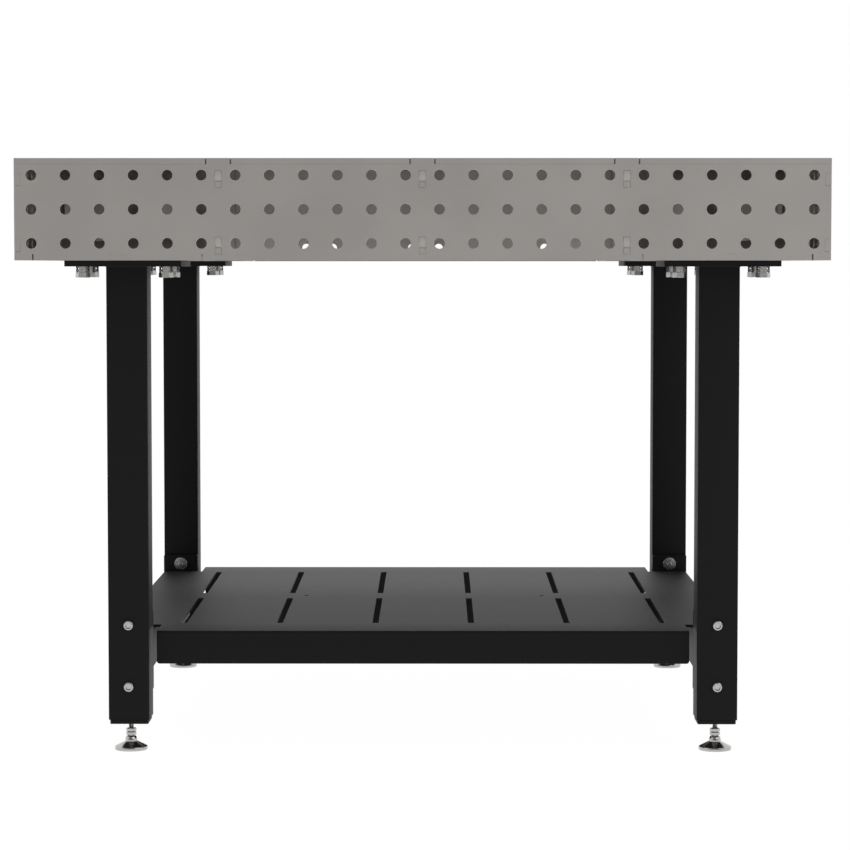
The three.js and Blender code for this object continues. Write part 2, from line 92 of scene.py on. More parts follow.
# Cutouts of the ribs
ARCH_BOTTOM_WIDTH = 486 * MM
ARCH_TOP_WIDTH = 416 * MM
ARCH_HEIGHT = 35 * MM
RIB_WINDOWS = [(331 * MM, 420 * MM, 787 * MM), (458 * MM, 563.6 * MM, 781.5 * MM)]
RIB_WINDOW_TOP = 862 * MM
RIB_WINDOW_CORNER = 15 * MM

# Rounds: counts of sides, and how far the parts of one piece sink into each other
TURNED_SIDES = 40
HEAD_SIDES = 36
ROD_SIDES = 24
HEXAGON_SIDES = 30
BALL_STEPS = 12
DOME_STEPS = 8
HEXAGON_FACE = 1.04
BORE_LIP = 0.4 * MM
AXIS_RADIUS = 0.3 * MM
OVERLAP = 1 * MM
HEAD_OVERLAP = 0.5 * MM

# Flange bolts and their wave washers
FLANGE_BOLT_SPACING = (125 * MM, 115 * MM)
FLANGE_BOLT_RADIUS = 6 * MM
FLANGE_BOLT_FLATS = 19 * MM
FLANGE_BOLT_HEAD = 7.5 * MM
FLANGE_BOLT_TIP = 1 * MM
WASHER_STACK = 9.2 * MM
WASHER_INSIDE = 8.3 * MM
WASHER_OUTSIDE = 10.3 * MM
WASHER_THICKNESS = 0.45 * MM
WASHER_WAVES = 8
WASHER_STEPS = 32
WASHER_COUNT = 3

# Rail bolts
RAIL_BOLT_RADIUS = 4 * MM
RAIL_HEAD_RADIUS = 7.3 * MM
RAIL_HEAD = 5 * MM
RAIL_HEAD_CURVE = [(0.0, 1.0 * MM), (0.3 * MM, 0.4 * MM), (MM, 0.0)]
RAIL_SOCKET = 8 * MM
RAIL_SOCKET_CURVE = [(0.4 * MM, 0.15 * MM), (0.0, 0.5 * MM)]
RAIL_SOCKET_BORDER = 1 * MM
RAIL_SOCKET_DEPTH = 3.2 * MM
RAIL_WASHER_RADIUS = 11.5 * MM
RAIL_WASHER = 2 * MM
RAIL_NUT_FLATS = 13 * MM
RAIL_NUT = 8 * MM
RAIL_BOLT_END = 1.6 * MM
RAIL_TIP_EDGE = 0.6 * MM
RAIL_WASHER_EDGE = 0.3 * MM

# Tubes, end plates, foot plates and welds
TUBE_CORNER = 2.0 * MM
TUBE_WALL = 3 * MM
RAIL_WIDTH = 60 * MM
RAIL_WINDOW_HALF = 20 * MM
END_PLATE_THICKNESS = 10 * MM
FOOT_PLATE_THICKNESS = 6.7 * MM
FOOT_PLATE_INSET = 1.75 * MM
STEM_HOLE_RADIUS = 4.3 * MM
BOLT_CLEARANCE = 0.5 * MM
CUT_EDGE = 0.5 * MM
WELD_RADIUS = 0.9 * MM
WELD_RIPPLE = 0.12
WELD_STEP = 2.0 * MM
WELD_SIDES = 6
FLANGE_CORNER = 2 * MM
FOOT_PLATE_CORNER = 3 * MM
END_PLATE_CORNER = 2 * MM
RAIL_WINDOW_CORNER = 3 * MM

# Shelf
SHELF_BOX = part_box("shelf")
SLOT_WIDTH = 10 * MM
SLOT_COLUMNS = [-375 * MM, -225 * MM, -75 * MM, 75 * MM, 225 * MM, 375 * MM]
SLOT_ROWS = [(-361 * MM, -34 * MM), (42 * MM, 369 * MM)]
SHELF_HOLES = [(-199 * MM, 4 * MM), (199 * MM, 4 * MM)]
SHELF_HOLE_RADIUS = 4 * MM
SHEET = 4 * MM
SHELF_NOTCH = 382 * MM
SHELF_FLANGE_HALF_WIDTH = 407.5 * MM
SHELF_BEND = 4.2 * MM
SHELF_BEND_STEPS = 6
SHELF_BEND_LENGTH = math.pi / 2 * (SHELF_BEND - SHEET / 2)
SHELF_FLANGE_CORNER = 4.5 * MM
SLOT_CORNER = 1.2 * MM
SHELF_SIDE_CORNER = 2 * MM
SHELF_EDGE = 0.4 * MM
SHELF_HOLE_RIM = 0.3 * MM
BEAM_EDGE = 0.3 * MM
BEAM_WALL = 3 * MM

# Feet
THREAD_PITCH = 1.25 * MM
THREAD_DEPTH = 0.6 * MM
THREAD_ROWS = 3
THREAD_SIDES = 12
THREAD_LENGTH = 48 * MM
THREAD_END = 1 * MM
STEM_RADIUS = 4 * MM
FOOT_HEX = 5.3 * MM
FOOT_HEX_GAP = 0.3 * MM
FOOT_HEX_FACE = 0.92
NUT_BORE_RADIUS = 4.15 * MM
FOOT_HEX_FLATS = 13.7 * MM
BALL_RADIUS = 7 * MM
PAD_RIM = 5.5 * MM
PAD_RIM_EDGE = 0.6 * MM
PAD_RIM_ROUND = 0.2 * MM
PAD_DOME_STEP = 0.4 * MM
PAD_NECK_RADIUS = 9.2 * MM
PAD_NECK_DROP = 1.5 * MM
PAD_DOME_RADIUS = 6.4 * MM
PAD_MOUTH_RADIUS = 5.5 * MM
SOCKET_GAP = 0.4 * MM


# Camera: place, pitch below level, turn to the left, lens
CAMERA_PLACE = (0.01907, -4.7646, 0.74456)
CAMERA_PITCH = 0.0568
CAMERA_TURN = 0.0037
CAMERA_LENS = 119.85

# Studio: the backdrop's brightness fades towards the front, between two directions
FLOOR_HALF = 60
FLOOR_GLOW = 0.99
FRONT_BRIGHTNESS = 0.19
FADE = (-0.95, -0.3)
LAMPS = {"key": {"size": 2.5, "power": 34, "place": (3.2, -4.0, 2.6), "aim": (0, 0, 0.8)},
         "back": {"size": 1.2, "power": 80, "place": (0, 3.4, 4.1), "aim": (0, 0.1, 0.2)}}

# Tones of the paint and the zinc, darkest and lightest
BLACK_TONES = ((0.006, 0.006, 0.006), (0.010, 0.010, 0.010))
ZINC_TONES = ((0.42, 0.408, 0.395), (0.52, 0.506, 0.491))


# Meshes

class Shape:
    """Points and faces of one piece, with a finish number for each face."""

    def __init__(self):
        self.points = []
        self.faces = []
        self.finishes = []

    def ring(self, points):
        """Adds points and returns their numbers."""
        start = len(self.points)
        self.points.extend(points)
        return list(range(start, len(self.points)))

    def face(self, corners, finish=0):
        """Adds one face."""
        self.faces.append(list(corners))
        self.finishes.append(finish)

    def bridge(self, lower, upper, finish=0):
        """Joins two rings with a band of quads."""
        for i in range(len(lower)):
            j = (i + 1) % len(lower)
            self.face((lower[i], lower[j], upper[j], upper[i]), finish)

    def loft(self, rings, closed=False):
        """Joins rings of points one after another, and caps the ends unless it closes on itself."""
        numbers = [self.ring(points) for points in rings]
        for lower, upper in zip(numbers, numbers[1:]):
            self.bridge(lower, upper)
        if closed:
            self.bridge(numbers[-1], numbers[0])
            return
        self.face(reversed(numbers[0]))
        self.face(numbers[-1])


def circle(x, y, radius, sides=SMALL_HOLE_SIDES):
    """Points of a circle, anticlockwise."""
    turns = [2 * math.pi * side / sides for side in range(sides)]
    return [(x + radius * math.cos(turn), y + radius * math.sin(turn)) for turn in turns]


def rectangle(low_x, high_x, low_y, high_y):
    """Corners of a rectangle, anticlockwise."""
    return [(low_x, low_y), (high_x, low_y), (high_x, high_y), (low_x, high_y)]


def rounded_rectangle(half_x, half_y, radius, steps=5):
    """Points of a rectangle with round corners about the middle, anticlockwise."""
    points = []
    for corner, (side_x, side_y) in enumerate(((1, 1), (-1, 1), (-1, -1), (1, -1))):
        centre_x = side_x * (half_x - radius)
        centre_y = side_y * (half_y - radius)
        for step in range(steps + 1):
            angle = math.pi / 2 * (corner + step / steps)
            points.append((centre_x + radius * math.cos(angle), centre_y + radius * math.sin(angle)))
    return points


def rounded(corners, radius, steps=5):
    """A polygon with rounded corners, by one radius for all or a list with one for each corner."""
    radii = radius if isinstance(radius, list) else [radius] * len(corners)
    points = []
    for i, corner in enumerate(corners):
        here = Vector(corner)
        if not radii[i]:
            points.append(tuple(here))
            continue
        back = (Vector(corners[i - 1]) - here).normalized()
        ahead = (Vector(corners[(i + 1) % len(corners)]) - here).normalized()
        start = here + back * radii[i]
        end = here + ahead * radii[i]
        for step in range(steps + 1):
            t = step / steps
            points.append(tuple((1 - t) ** 2 * start + 2 * t * (1 - t) * here + t * t * end))
    return points


def inset(ring, distance):
    """The ring moved to the left of its direction, which is into the material."""
    moved = []
    for i, point in enumerate(ring):
        here = Vector(point)
        back = (here - Vector(ring[i - 1])).normalized()
        ahead = (Vector(ring[(i + 1) % len(ring)]) - here).normalized()
        left = Vector((-back.y - ahead.y, back.x + ahead.x))
        share = left.dot(Vector((-back.y, back.x)))
        moved.append(tuple(here + left * (distance / max(share, 1e-9))))
    return moved


def plate(outline, holes, thickness, edge=EDGE, rim=HOLE_RIM, lines=(), place=None):
    """A flat plate from z = 0 up, its outline chamfered on both faces and its holes on the upper face.

    The holes are convex, so a triangle with its three corners on one hole's ring lies inside that hole.
    Lines are pairs of outline points that stay edges of the flat faces, and place moves a flat point to
    where it goes in a bent sheet.
    """
    shape = Shape()
    rings = [(outline, edge)] + [(list(reversed(hole)), rim) for hole in holes]
    flat_points = []
    flat_edges = []
    levels = [[], [], [], []]
    for ring, chamfer in rings:
        inner = inset(ring, chamfer)
        start = len(flat_points)
        flat_points.extend(inner)
        flat_edges.extend((start + i, start + (i + 1) % len(ring)) for i in range(len(ring)))
        heights = [(inner, thickness), (ring, thickness - chamfer), (ring, chamfer), (inner, 0.0)]
        if ring is not outline:
            heights = [*heights[:2], (ring, 0.0)]
        numbers = [shape.ring([(x, y, height) for x, y in points]) for points, height in heights]
        for level, corners in zip(levels, [*numbers, numbers[-1]]):
            level.extend(corners)
    flat_edges.extend(lines)
    ring_of = [number for number, (ring, _) in enumerate(rings) for _ in ring]
    result = delaunay_2d_cdt([Vector(point) for point in flat_points], flat_edges, [], 1, 1e-9)
    origins = [origin[0] for origin in result[3]]
    for triangle in result[2]:
        corners = [origins[corner] for corner in triangle]
        owners = {ring_of[corner] for corner in corners}
        if len(owners) == 1 and 0 not in owners:
            continue
        shape.face([levels[0][corner] for corner in corners])
        shape.face([levels[3][corner] for corner in reversed(corners)])
    start = 0
    for ring, _ in rings:
        numbers = range(start, start + len(ring))
        bands = [[level[number] for number in numbers] for level in levels]
        shape.bridge(bands[1], bands[0], 1)
        shape.bridge(bands[2], bands[1])
        if ring is outline:
            shape.bridge(bands[3], bands[2], 1)
        start += len(ring)
    if place:
        shape.points = [place(*point) for point in shape.points]
    return shape


def turned(profile, sides=TURNED_SIDES, closed=False):
    """A turned piece about Z from (radius, height) points. It closes on itself or ends on flat caps."""
    shape = Shape()
    rings = [[(x, y, height) for x, y in circle(0, 0, radius, sides)] for radius, height in profile]
    shape.loft(rings, closed)
    return shape


def hexagon_radius(angle, flats):
    """The radius of a hexagon at an angle, with a corner at angle 0."""
    off_flat = (angle % (math.pi / 3)) - math.pi / 6
    return flats / 2 / math.cos(off_flat)


def hexagon_ring(flats, sides):
    """Points round a hexagon, at even angles."""
    ring = []
    for x, y in circle(0, 0, 1.0, sides):
        radius = hexagon_radius(math.atan2(y, x), flats)
        ring.append((radius * x, radius * y))
    return ring


def hexagon(flats, heights, bore=0.0, chamfer_bottom=True, chamfer_top=True, face=HEXAGON_FACE):
    """A hexagon between two heights, its corners cut by 30 degree cones, with a bore if asked.

    Face is the radius where a cone meets the end face, as a share of half the width across flats.
    """
    low, high = heights
    sides = HEXAGON_SIDES
    slope = math.tan(math.radians(30))
    face_radius = face * flats / 2
    depth = (flats / math.sqrt(3) - face_radius) * slope
    steps = [depth * step / 3 for step in range(4)]
    shape = Shape()
    rows = [low + step for step in steps] + [high - step for step in reversed(steps)]
    rings = []
    for height in rows:
        below = face_radius + (height - low) / slope if chamfer_bottom else flats
        above = face_radius + (high - height) / slope if chamfer_top else flats
        ring = []
        for side in range(sides):
            angle = 2 * math.pi * side / sides
            radius = min(hexagon_radius(angle, flats), below, above)
            ring.append((radius * math.cos(angle), radius * math.sin(angle), height))
        rings.append(ring)
    if bore:
        lip = BORE_LIP
        for radius, height in ((bore + lip, high), (bore, high - lip), (bore, low + lip), (bore + lip, low)):
            rings.append([(x, y, height) for x, y in circle(0, 0, radius, sides)])
        shape.loft(rings, closed=True)
    else:
        shape.loft(rings)
    return shape


def moved(shape, matrix):
    """The shape with its points carried by a matrix."""
    result = Shape()
    result.points = [tuple(matrix @ Vector(point)) for point in shape.points]
    result.faces = shape.faces
    result.finishes = shape.finishes
    return result


def together(*shapes):
    """Several closed shapes in one piece."""
    result = Shape()
    for shape in shapes:
        start = len(result.points)
        result.points.extend(shape.points)
        result.faces.extend([start + corner for corner in face] for face in shape.faces)
        result.finishes.extend(shape.finishes)
    return result


def weld(path):
    """A rippled weld bead along a closed path of points at one height."""
    normal = Vector((0, 0, 1))
    points = []
    for i, point in enumerate(path):
        here = Vector(point)
        ahead = Vector(path[(i + 1) % len(path)])
        count = max(1, round((ahead - here).length / WELD_STEP))
        points.extend(here.lerp(ahead, step / count) for step in range(count))
    rings = []
    for i, here in enumerate(points):
        tangent = (points[(i + 1) % len(points)] - points[i - 1]).normalized()
        across = tangent.cross(normal).normalized()
        swell = WELD_RADIUS * (1 + WELD_RIPPLE * math.cos(math.pi * i))
        section = circle(0, 0, swell, WELD_SIDES)
        rings.append([tuple(here + across * x + normal * y) for x, y in section])
    shape = Shape()
    shape.loft(rings, closed=True)
    return shape


def block(low, high):
    """A chamfered block between two corners."""
    outline = rectangle(low[0], high[0], low[1], high[1])
    return moved(plate(outline, [], high[2] - low[2], SEAM_EDGE), Matrix.Translation((0, 0, low[2])))


# Materials

def material(name, base, metallic, roughness, ior=1.5):
    """A node material with its plain values set. Returns the material, its nodes, links and shader."""
    made = bpy.data.materials.new(name)
    made.use_nodes = True
    nodes = made.node_tree.nodes
    shader = nodes["Principled BSDF"]
    shader.inputs["Base Color"].default_value = (*base, 1)
    shader.inputs["Metallic"].default_value = metallic
    shader.inputs["Roughness"].default_value = roughness
    shader.inputs["IOR"].default_value = ior
    return made, nodes, made.node_tree.links, shader


def noise(nodes, links, scale, detail, stretch=(1, 1, 1)):
    """A noise texture in the object's own coordinates, with the pattern's size along each axis."""
    place = nodes.new("ShaderNodeTexCoord")
    size = nodes.new("ShaderNodeMapping")
    size.inputs["Scale"].default_value = stretch
    pattern = nodes.new("ShaderNodeTexNoise")
    pattern.inputs["Scale"].default_value = scale
    pattern.inputs["Detail"].default_value = detail
    links.new(place.outputs["Object"], size.inputs["Vector"])
    links.new(size.outputs["Vector"], pattern.inputs["Vector"])
    return pattern.outputs["Fac"]


def ranged(nodes, links, value, low, high, low_in=0.3, high_in=0.7):
    """A value spread over a new range."""
    spread = nodes.new("ShaderNodeMapRange")
    spread.inputs["From Min"].default_value = low_in
    spread.inputs["From Max"].default_value = high_in
    spread.inputs["To Min"].default_value = low
    spread.inputs["To Max"].default_value = high
    links.new(value, spread.inputs["Value"])
    return spread.outputs["Result"]


def mixed(nodes, links, share, first, second):
    """Two colours mixed by a value."""
    mix = nodes.new("ShaderNodeMix")
    mix.data_type = "RGBA"
    for socket, colour in (("A", first), ("B", second)):
        target = next(s for s in mix.inputs if s.name == socket and s.type == "RGBA")
        target.default_value = (*colour, 1)
    links.new(share, next(s for s in mix.inputs if s.name == "Factor" and s.type == "VALUE"))
    return next(s for s in mix.outputs if s.type == "RGBA")


def bumped(nodes, links, shader, height, distance, strength):
    """Fine relief on the shader's normal."""
    bump = nodes.new("ShaderNodeBump")
    bump.inputs["Distance"].default_value = distance
    bump.inputs["Strength"].default_value = strength
    links.new(height, bump.inputs["Height"])
    links.new(bump.outputs["Normal"], shader.inputs["Normal"])


def added(nodes, links, first, second, share):
    """The first value plus a share of the second."""
    total = nodes.new("ShaderNodeMath")
    total.operation = "MULTIPLY_ADD"
    links.new(second, total.inputs[0])
    total.inputs[1].default_value = share
    links.new(first, total.inputs[2])
    return total.outputs["Value"]


def steel_plate(name, base, roughness):
    """Lightly oiled steel plate: rolled grain, faint oxide clouds and fine grit."""
    made, nodes, links, shader = material(name, base, 0.85, roughness)
    clouds = noise(nodes, links, 9, 4)
    grain = noise(nodes, links, 260, 3, (0.06, 0.06, 1))
    grit = noise(nodes, links, 1400, 2)
    darker = tuple(0.93 * part for part in base)
    lighter = tuple(min(1.0, 1.06 * part) for part in base)
    tone = added(nodes, links, ranged(nodes, links, clouds, 0.25, 0.65), grain, 0.2)
    links.new(mixed(nodes, links, tone, darker, lighter), shader.inputs["Base Color"])
    rough = added(nodes, links, ranged(nodes, links, clouds, roughness - 0.05, roughness + 0.03), grain, 0.05)
    links.new(rough, shader.inputs["Roughness"])
    bumped(nodes, links, shader, added(nodes, links, grain, grit, 0.5), 0.00002, 0.5)
    return made


def black_paint():
    """Fine-textured black powder coat."""
    made, nodes, links, shader = material("black_powder_coat", (0.008, 0.008, 0.008), 0.0, 0.50, 1.21)
    clouds = noise(nodes, links, 40, 3)
    pebble = noise(nodes, links, 1100, 2)
    colour = mixed(nodes, links, pebble, *BLACK_TONES)
    roughness = added(nodes, links, ranged(nodes, links, clouds, 0.48, 0.49), pebble, 0.05)
    links.new(colour, shader.inputs["Base Color"])
    links.new(roughness, shader.inputs["Roughness"])
    bumped(nodes, links, shader, pebble, 0.00004, 0.35)
    return made


def zinc_plate():
    """Bright zinc on turned and forged fasteners, with fine tool marks."""
    made, nodes, links, shader = material("bright_zinc", (0.47, 0.457, 0.443), 1.0, 0.20)
    clouds = noise(nodes, links, 160, 3)
    marks = noise(nodes, links, 1500, 2, (1, 1, 3))
    colour = mixed(nodes, links, clouds, *ZINC_TONES)
    links.new(colour, shader.inputs["Base Color"])
    links.new(ranged(nodes, links, marks, 0.16, 0.22), shader.inputs["Roughness"])
    bumped(nodes, links, shader, marks, 0.000005, 0.3)
    return made


STEEL = steel_plate("steel_plate", (0.405, 0.384, 0.366), 0.46)
STEEL_EDGE = steel_plate("steel_edge", (0.47, 0.452, 0.435), 0.40)
BLACK = black_paint()
ZINC = zinc_plate()
FINISHES = {"steel_plate": [STEEL, STEEL_EDGE], "black_paint": [BLACK, BLACK], "zinc": [ZINC, ZINC]}
SMOOTH_ANGLE = math.radians(32)


def piece(name, shape, slot, body="table", matrix=None, replaces=()):
    """One piece of the object: its mesh, its finishes, the body it rides on and the nodes it stands for."""
    data = bpy.data.meshes.new(name)
    data.from_pydata(shape.points, [], shape.faces)
    data.polygons.foreach_set("material_index", shape.finishes)
    for finish in FINISHES[slot]:
        data.materials.append(finish)
    if matrix is not None:
        data.transform(matrix)
    tidy = bmesh.new()
    tidy.from_mesh(data)
    bmesh.ops.recalc_face_normals(tidy, faces=tidy.faces)
    tidy.to_mesh(data)
    tidy.free()
    data.polygons.foreach_set("use_smooth", [True] * len(data.polygons))
    data.set_sharp_from_angle(angle=SMOOTH_ANGLE)
    made = bpy.data.objects.new(name, data)
    bpy.context.scene.collection.objects.link(made)
    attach(made, body)
    if replaces:
        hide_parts(*replaces)


# Table box

def upright(turn=0.0):
    """Carries a plate drawn along X and up Y to the front of the box, then turns it about the middle."""
    stand = Matrix(((1, 0, 0, 0), (0, 0, -1, -INNER), (0, 1, 0, 0), (0, 0, 0, 1)))
    return Matrix.Rotation(turn, 4, "Z") @ stand


def notched_square():
    """The top plate's outline, with a notch for each panel tab."""
    side = [(-HALF, -HALF)]
    for line in RIB_LINES:
        low = line - TOP_NOTCH_WIDTH / 2
        high = line + TOP_NOTCH_WIDTH / 2
        side += [(low, -HALF), (low, -INNER), (high, -INNER), (high, -HALF)]
    outline = []
    for quarter in range(4):
        turn = Matrix.Rotation(quarter * math.pi / 2, 2)
        outline += [tuple(turn @ Vector(point)) for point in side]
    return outline


def make_top():
    """The top plate with all its fixture holes."""
    holes = [circle(x, y, HOLE_RADIUS, FIXTURE_HOLE_SIDES) for x in HOLE_COLUMNS for y in HOLE_COLUMNS]
    shape = plate(notched_square(), holes, PLATE)
    piece("top_plate_surface", shape, "steel_plate", matrix=Matrix.Translation((0, 0, PANEL_TOP)),
          replaces=["top_plate"])


def steps_along(edge, features):
    """An edge from (x, y) pairs that steps to each feature's y between its low and high x, in order."""
    points = []
    for low, high, level in features:
        points += [(low, edge), (low, level), (high, level), (high, edge)]
    return points


def panel_outline(tabbed):
    """One side panel's outline, drawn along X with heights up Y."""
    reach = INNER if tabbed else HALF
    seat = (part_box("leg_front_right")[0].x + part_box("leg_front_right")[1].x) / 2
    notch = CORNER_PLATE_TAB / 2 + SEAM
    cuts = sorted([(seat - notch, seat + notch), *RELIEF_CUTS])
    cuts = [(-high, -low) for low, high in reversed(cuts)] + cuts
    cut_top = BOX_BOTTOM + PLATE + SEAM
    bottom = steps_along(BOX_BOTTOM, [(low, high, cut_top) for low, high in cuts])
    half_tab = TOP_TAB_WIDTH / 2
    top = steps_along(PANEL_TOP, [(line + half_tab, line - half_tab, TOP) for line in reversed(RIB_LINES)])
    end = HALF if tabbed else INNER - SEAM
    gap = 0 if tabbed else SEAM
    right_side = []
    for upper, lower in reversed(CORNER_TAB_DEPTHS):
        low = TOP - lower - 3 * gap
        high = TOP - upper + gap
        right_side += [(reach, low), (end, low), (end, high), (reach, high)]
    left_side = [(-x, y) for x, y in reversed(right_side)]
    lower_edge = [(-reach, BOX_BOTTOM), *bottom, (reach, BOX_BOTTOM)]
    upper_edge = [(reach, PANEL_TOP), *top, (-reach, PANEL_TOP)]
    return lower_edge + right_side + upper_edge + left_side


def make_panel(name, tabbed, turn):
    """One side panel with its fixture holes and rib slots."""
    holes = [circle(x, TOP - depth, HOLE_RADIUS, FIXTURE_HOLE_SIDES)
             for x in HOLE_COLUMNS for depth in PANEL_HOLE_DEPTHS]
    half = RIB_SLOT_WIDTH / 2
    slots = [rectangle(line - half, line + half, TOP - lower, TOP - upper)
             for line in RIB_LINES for upper, lower in RIB_TAB_DEPTHS]
    shape = plate(panel_outline(tabbed), holes + slots, PLATE, SEAM_EDGE)
    piece(name + "_surface", shape, "steel_plate", matrix=upright(turn), replaces=[name])


def rib_outline(halved_from_top):
    """A rib's outline: an arch under the middle and a half-depth notch at each crossing."""
    crossing = (RIB_LOW.z + PANEL_TOP) / 2
    half = PLATE / 2 + SEAM
    arch_top = RIB_LOW.z + ARCH_HEIGHT
    wide = ARCH_BOTTOM_WIDTH / 2
    narrow = ARCH_TOP_WIDTH / 2
    notches = {line: [] for line in RIB_LINES}
    if not halved_from_top:
        for line in RIB_LINES:
            level = arch_top if line == 0 else RIB_LOW.z
            notches[line] = steps_along(level, [(line - half, line + half, crossing)])
    left, middle, right = (notches[line] for line in RIB_LINES)
    rise = [(-wide, RIB_LOW.z), (-narrow, arch_top)]
    fall = [(narrow, arch_top), (wide, RIB_LOW.z)]
    bottom = [*left, *rise, *middle, *fall, *right]
    top = []
    if halved_from_top:
        top = steps_along(PANEL_TOP, [(line + half, line - half, crossing) for line in reversed(RIB_LINES)])
    return [(-INNER, RIB_LOW.z), *bottom, (INNER, RIB_LOW.z), (INNER, PANEL_TOP), *top, (-INNER, PANEL_TOP)]


def rib_windows():
    """The windows between a rib's outer crossings and its ends, with rounded corners."""
    windows = []
    for near, far, bottom in RIB_WINDOWS:
        for low, high in ((near, far), (-far, -near)):
            windows.append(rounded(rectangle(low, high, bottom, RIB_WINDOW_TOP), RIB_WINDOW_CORNER))
    return windows


def rib_tab_ends():
    """The tab ends that fill the panels' slots: a flush lower block and an upper one hollowed by its weld."""
    blocks = []
    half = RIB_SLOT_WIDTH / 2 - SEAM
    for upper, lower in RIB_TAB_DEPTHS:
        low = TOP - lower + SEAM
        high = TOP - upper - SEAM
        split = low + (high - low) * RIB_TAB_SPLIT
        ridge = low + (high - low) * RIB_TAB_RIDGE
        for side in (-1, 1):
            near, far = sorted((side * INNER, side * HALF))
            blocks.append(block((near, -half, low), (far, half, split - SEAM / 2)))
            hollow = side * (HALF - RIB_TAB_HOLLOW)
            section = [(side * INNER, split + SEAM / 2), (hollow, split + SEAM / 2), (side * HALF, ridge),
                       (side * HALF, high), (side * INNER, high)]
            upper_block = Shape()
            upper_block.loft([[(x, y, z) for x, z in section] for y in (-half, half)])
            blocks.append(upper_block)
    return blocks


def make_rib(name, halved_from_top, turn, offset):
    """One rib with its tab ends."""
    body = plate(rib_outline(halved_from_top), rib_windows(), PLATE)
    stand = Matrix(((1, 0, 0, 0), (0, 0, -1, PLATE / 2), (0, 1, 0, 0), (0, 0, 0, 1)))
    shape = together(moved(body, stand), *rib_tab_ends())
    place = Matrix.Translation(offset) @ Matrix.Rotation(turn, 4, "Z")
    piece(name + "_web", shape, "steel_plate", matrix=place, replaces=[name])


def leg_centre(corner):
    """The middle of a corner's leg in plan."""
    low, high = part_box("leg_" + corner)
    return (low + high) / 2


def flange_bolt_places(corner):
    """Where the bolts of a corner stand in plan."""
    centre = leg_centre(corner)
    step_x, step_y = FLANGE_BOLT_SPACING
    return [(centre.x + i * step_x / 2, centre.y + j * step_y / 2) for j in (-1, 1) for i in (-1, 1)]


def make_corner_plate(corner):
    """A corner plate with a tab through each side panel, and a threaded hole for each bolt."""
    side_x, side_y = CORNERS[corner]
    seat = abs(leg_centre(corner).x)
    tab = CORNER_PLATE_TAB / 2
    near = CORNER_PLATE_EDGE
    inside = INNER - SEAM
    edge = [(near, inside), *steps_along(inside, [(seat - tab, seat + tab, HALF)])]
    mirrored = [(y, x) for x, y in reversed(edge)]
    outline = [(side_x * x, side_y * y) for x, y in [(near, near), *edge, (inside, inside), *mirrored]]
    if side_x * side_y > 0:
        outline.reverse()
    holes = [circle(x, y, FLANGE_BOLT_RADIUS + SEAM) for x, y in flange_bolt_places(corner)]
    shape = plate(outline, holes, PLATE, SEAM_EDGE)
    piece("corner_plate_surface_" + corner, shape, "steel_plate",
          matrix=Matrix.Translation((0, 0, BOX_BOTTOM)), replaces=["corner_plate_" + corner])


# Legs, rails and their bolts

def tube_shape(half, low, high):
    """A square tube with round corners between two heights."""
    outer = rounded_rectangle(half, half, TUBE_CORNER)
    inner = rounded_rectangle(half - TUBE_WALL, half - TUBE_WALL, TUBE_CORNER - TUBE_WALL / 2)
    shape = Shape()
    rings = [(outer, low), (outer, high), (inner, high), (inner, low)]
    shape.loft([[(x, y, height) for x, y in ring] for ring, height in rings], closed=True)
    return shape


def make_leg(corner):
    """A leg: tube, drilled top flange, foot plate and the weld bead where the tube meets the flange."""
    low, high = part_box("leg_" + corner)
    centre = leg_centre(corner)
    rail_low, rail_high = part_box("rail_left")
    half = (rail_high.x - rail_low.x) / 2
    flange_bottom = high.z - PLATE
    foot_top = low.z + FOOT_PLATE_THICKNESS
    place = Matrix.Translation((centre.x, centre.y, 0))
    tube = tube_shape(half, foot_top, flange_bottom)
    piece("leg_tube_" + corner, tube, "black_paint", matrix=place, replaces=["leg_" + corner])
    half_x = (high.x - low.x) / 2
    half_y = (high.y - low.y) / 2
    hole = FLANGE_BOLT_RADIUS + BOLT_CLEARANCE
    holes = [circle(x - centre.x, y - centre.y, hole) for x, y in flange_bolt_places(corner)]
    flange = plate(rounded_rectangle(half_x, half_y, FLANGE_CORNER), holes, PLATE, CUT_EDGE)
    seat = place @ Matrix.Translation((0, 0, flange_bottom))
    piece("leg_flange_" + corner, flange, "black_paint", matrix=seat)
    foot_half = half - FOOT_PLATE_INSET
    stem_hole = [circle(0, 0, STEM_HOLE_RADIUS)]
    square = rounded_rectangle(foot_half, foot_half, FOOT_PLATE_CORNER)
    foot = plate(square, stem_hole, FOOT_PLATE_THICKNESS, CUT_EDGE)
    base = place @ Matrix.Translation((0, 0, low.z))
    piece("leg_foot_plate_" + corner, foot, "black_paint", matrix=base)
    path = rounded_rectangle(half, half, TUBE_CORNER)
    bead = weld([(x, y, flange_bottom) for x, y in path])
    piece("leg_weld_" + corner, bead, "black_paint", matrix=place)


def make_flange_bolt(name, x, y):
    """A hexagon bolt and its stack of wave washers."""
    flange_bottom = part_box("leg_front_left")[1].z - PLATE
    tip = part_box(name)[1].z
    head_top = flange_bottom - WASHER_STACK
    head = hexagon(FLANGE_BOLT_FLATS, (head_top - FLANGE_BOLT_HEAD, head_top), chamfer_top=False)
    shank = turned([(FLANGE_BOLT_RADIUS, head_top - HEAD_OVERLAP), (FLANGE_BOLT_RADIUS, tip - FLANGE_BOLT_TIP),
                    (FLANGE_BOLT_RADIUS - FLANGE_BOLT_TIP, tip)], ROD_SIDES)
    place = Matrix.Translation((x, y, 0))
    piece(name + "_body", together(head, shank), "zinc", matrix=place, replaces=[name])
    washers = [wave_washer(number, head_top) for number in range(WASHER_COUNT)]
    piece(name.replace("bolt", "washers"), together(*washers), "zinc", matrix=place)


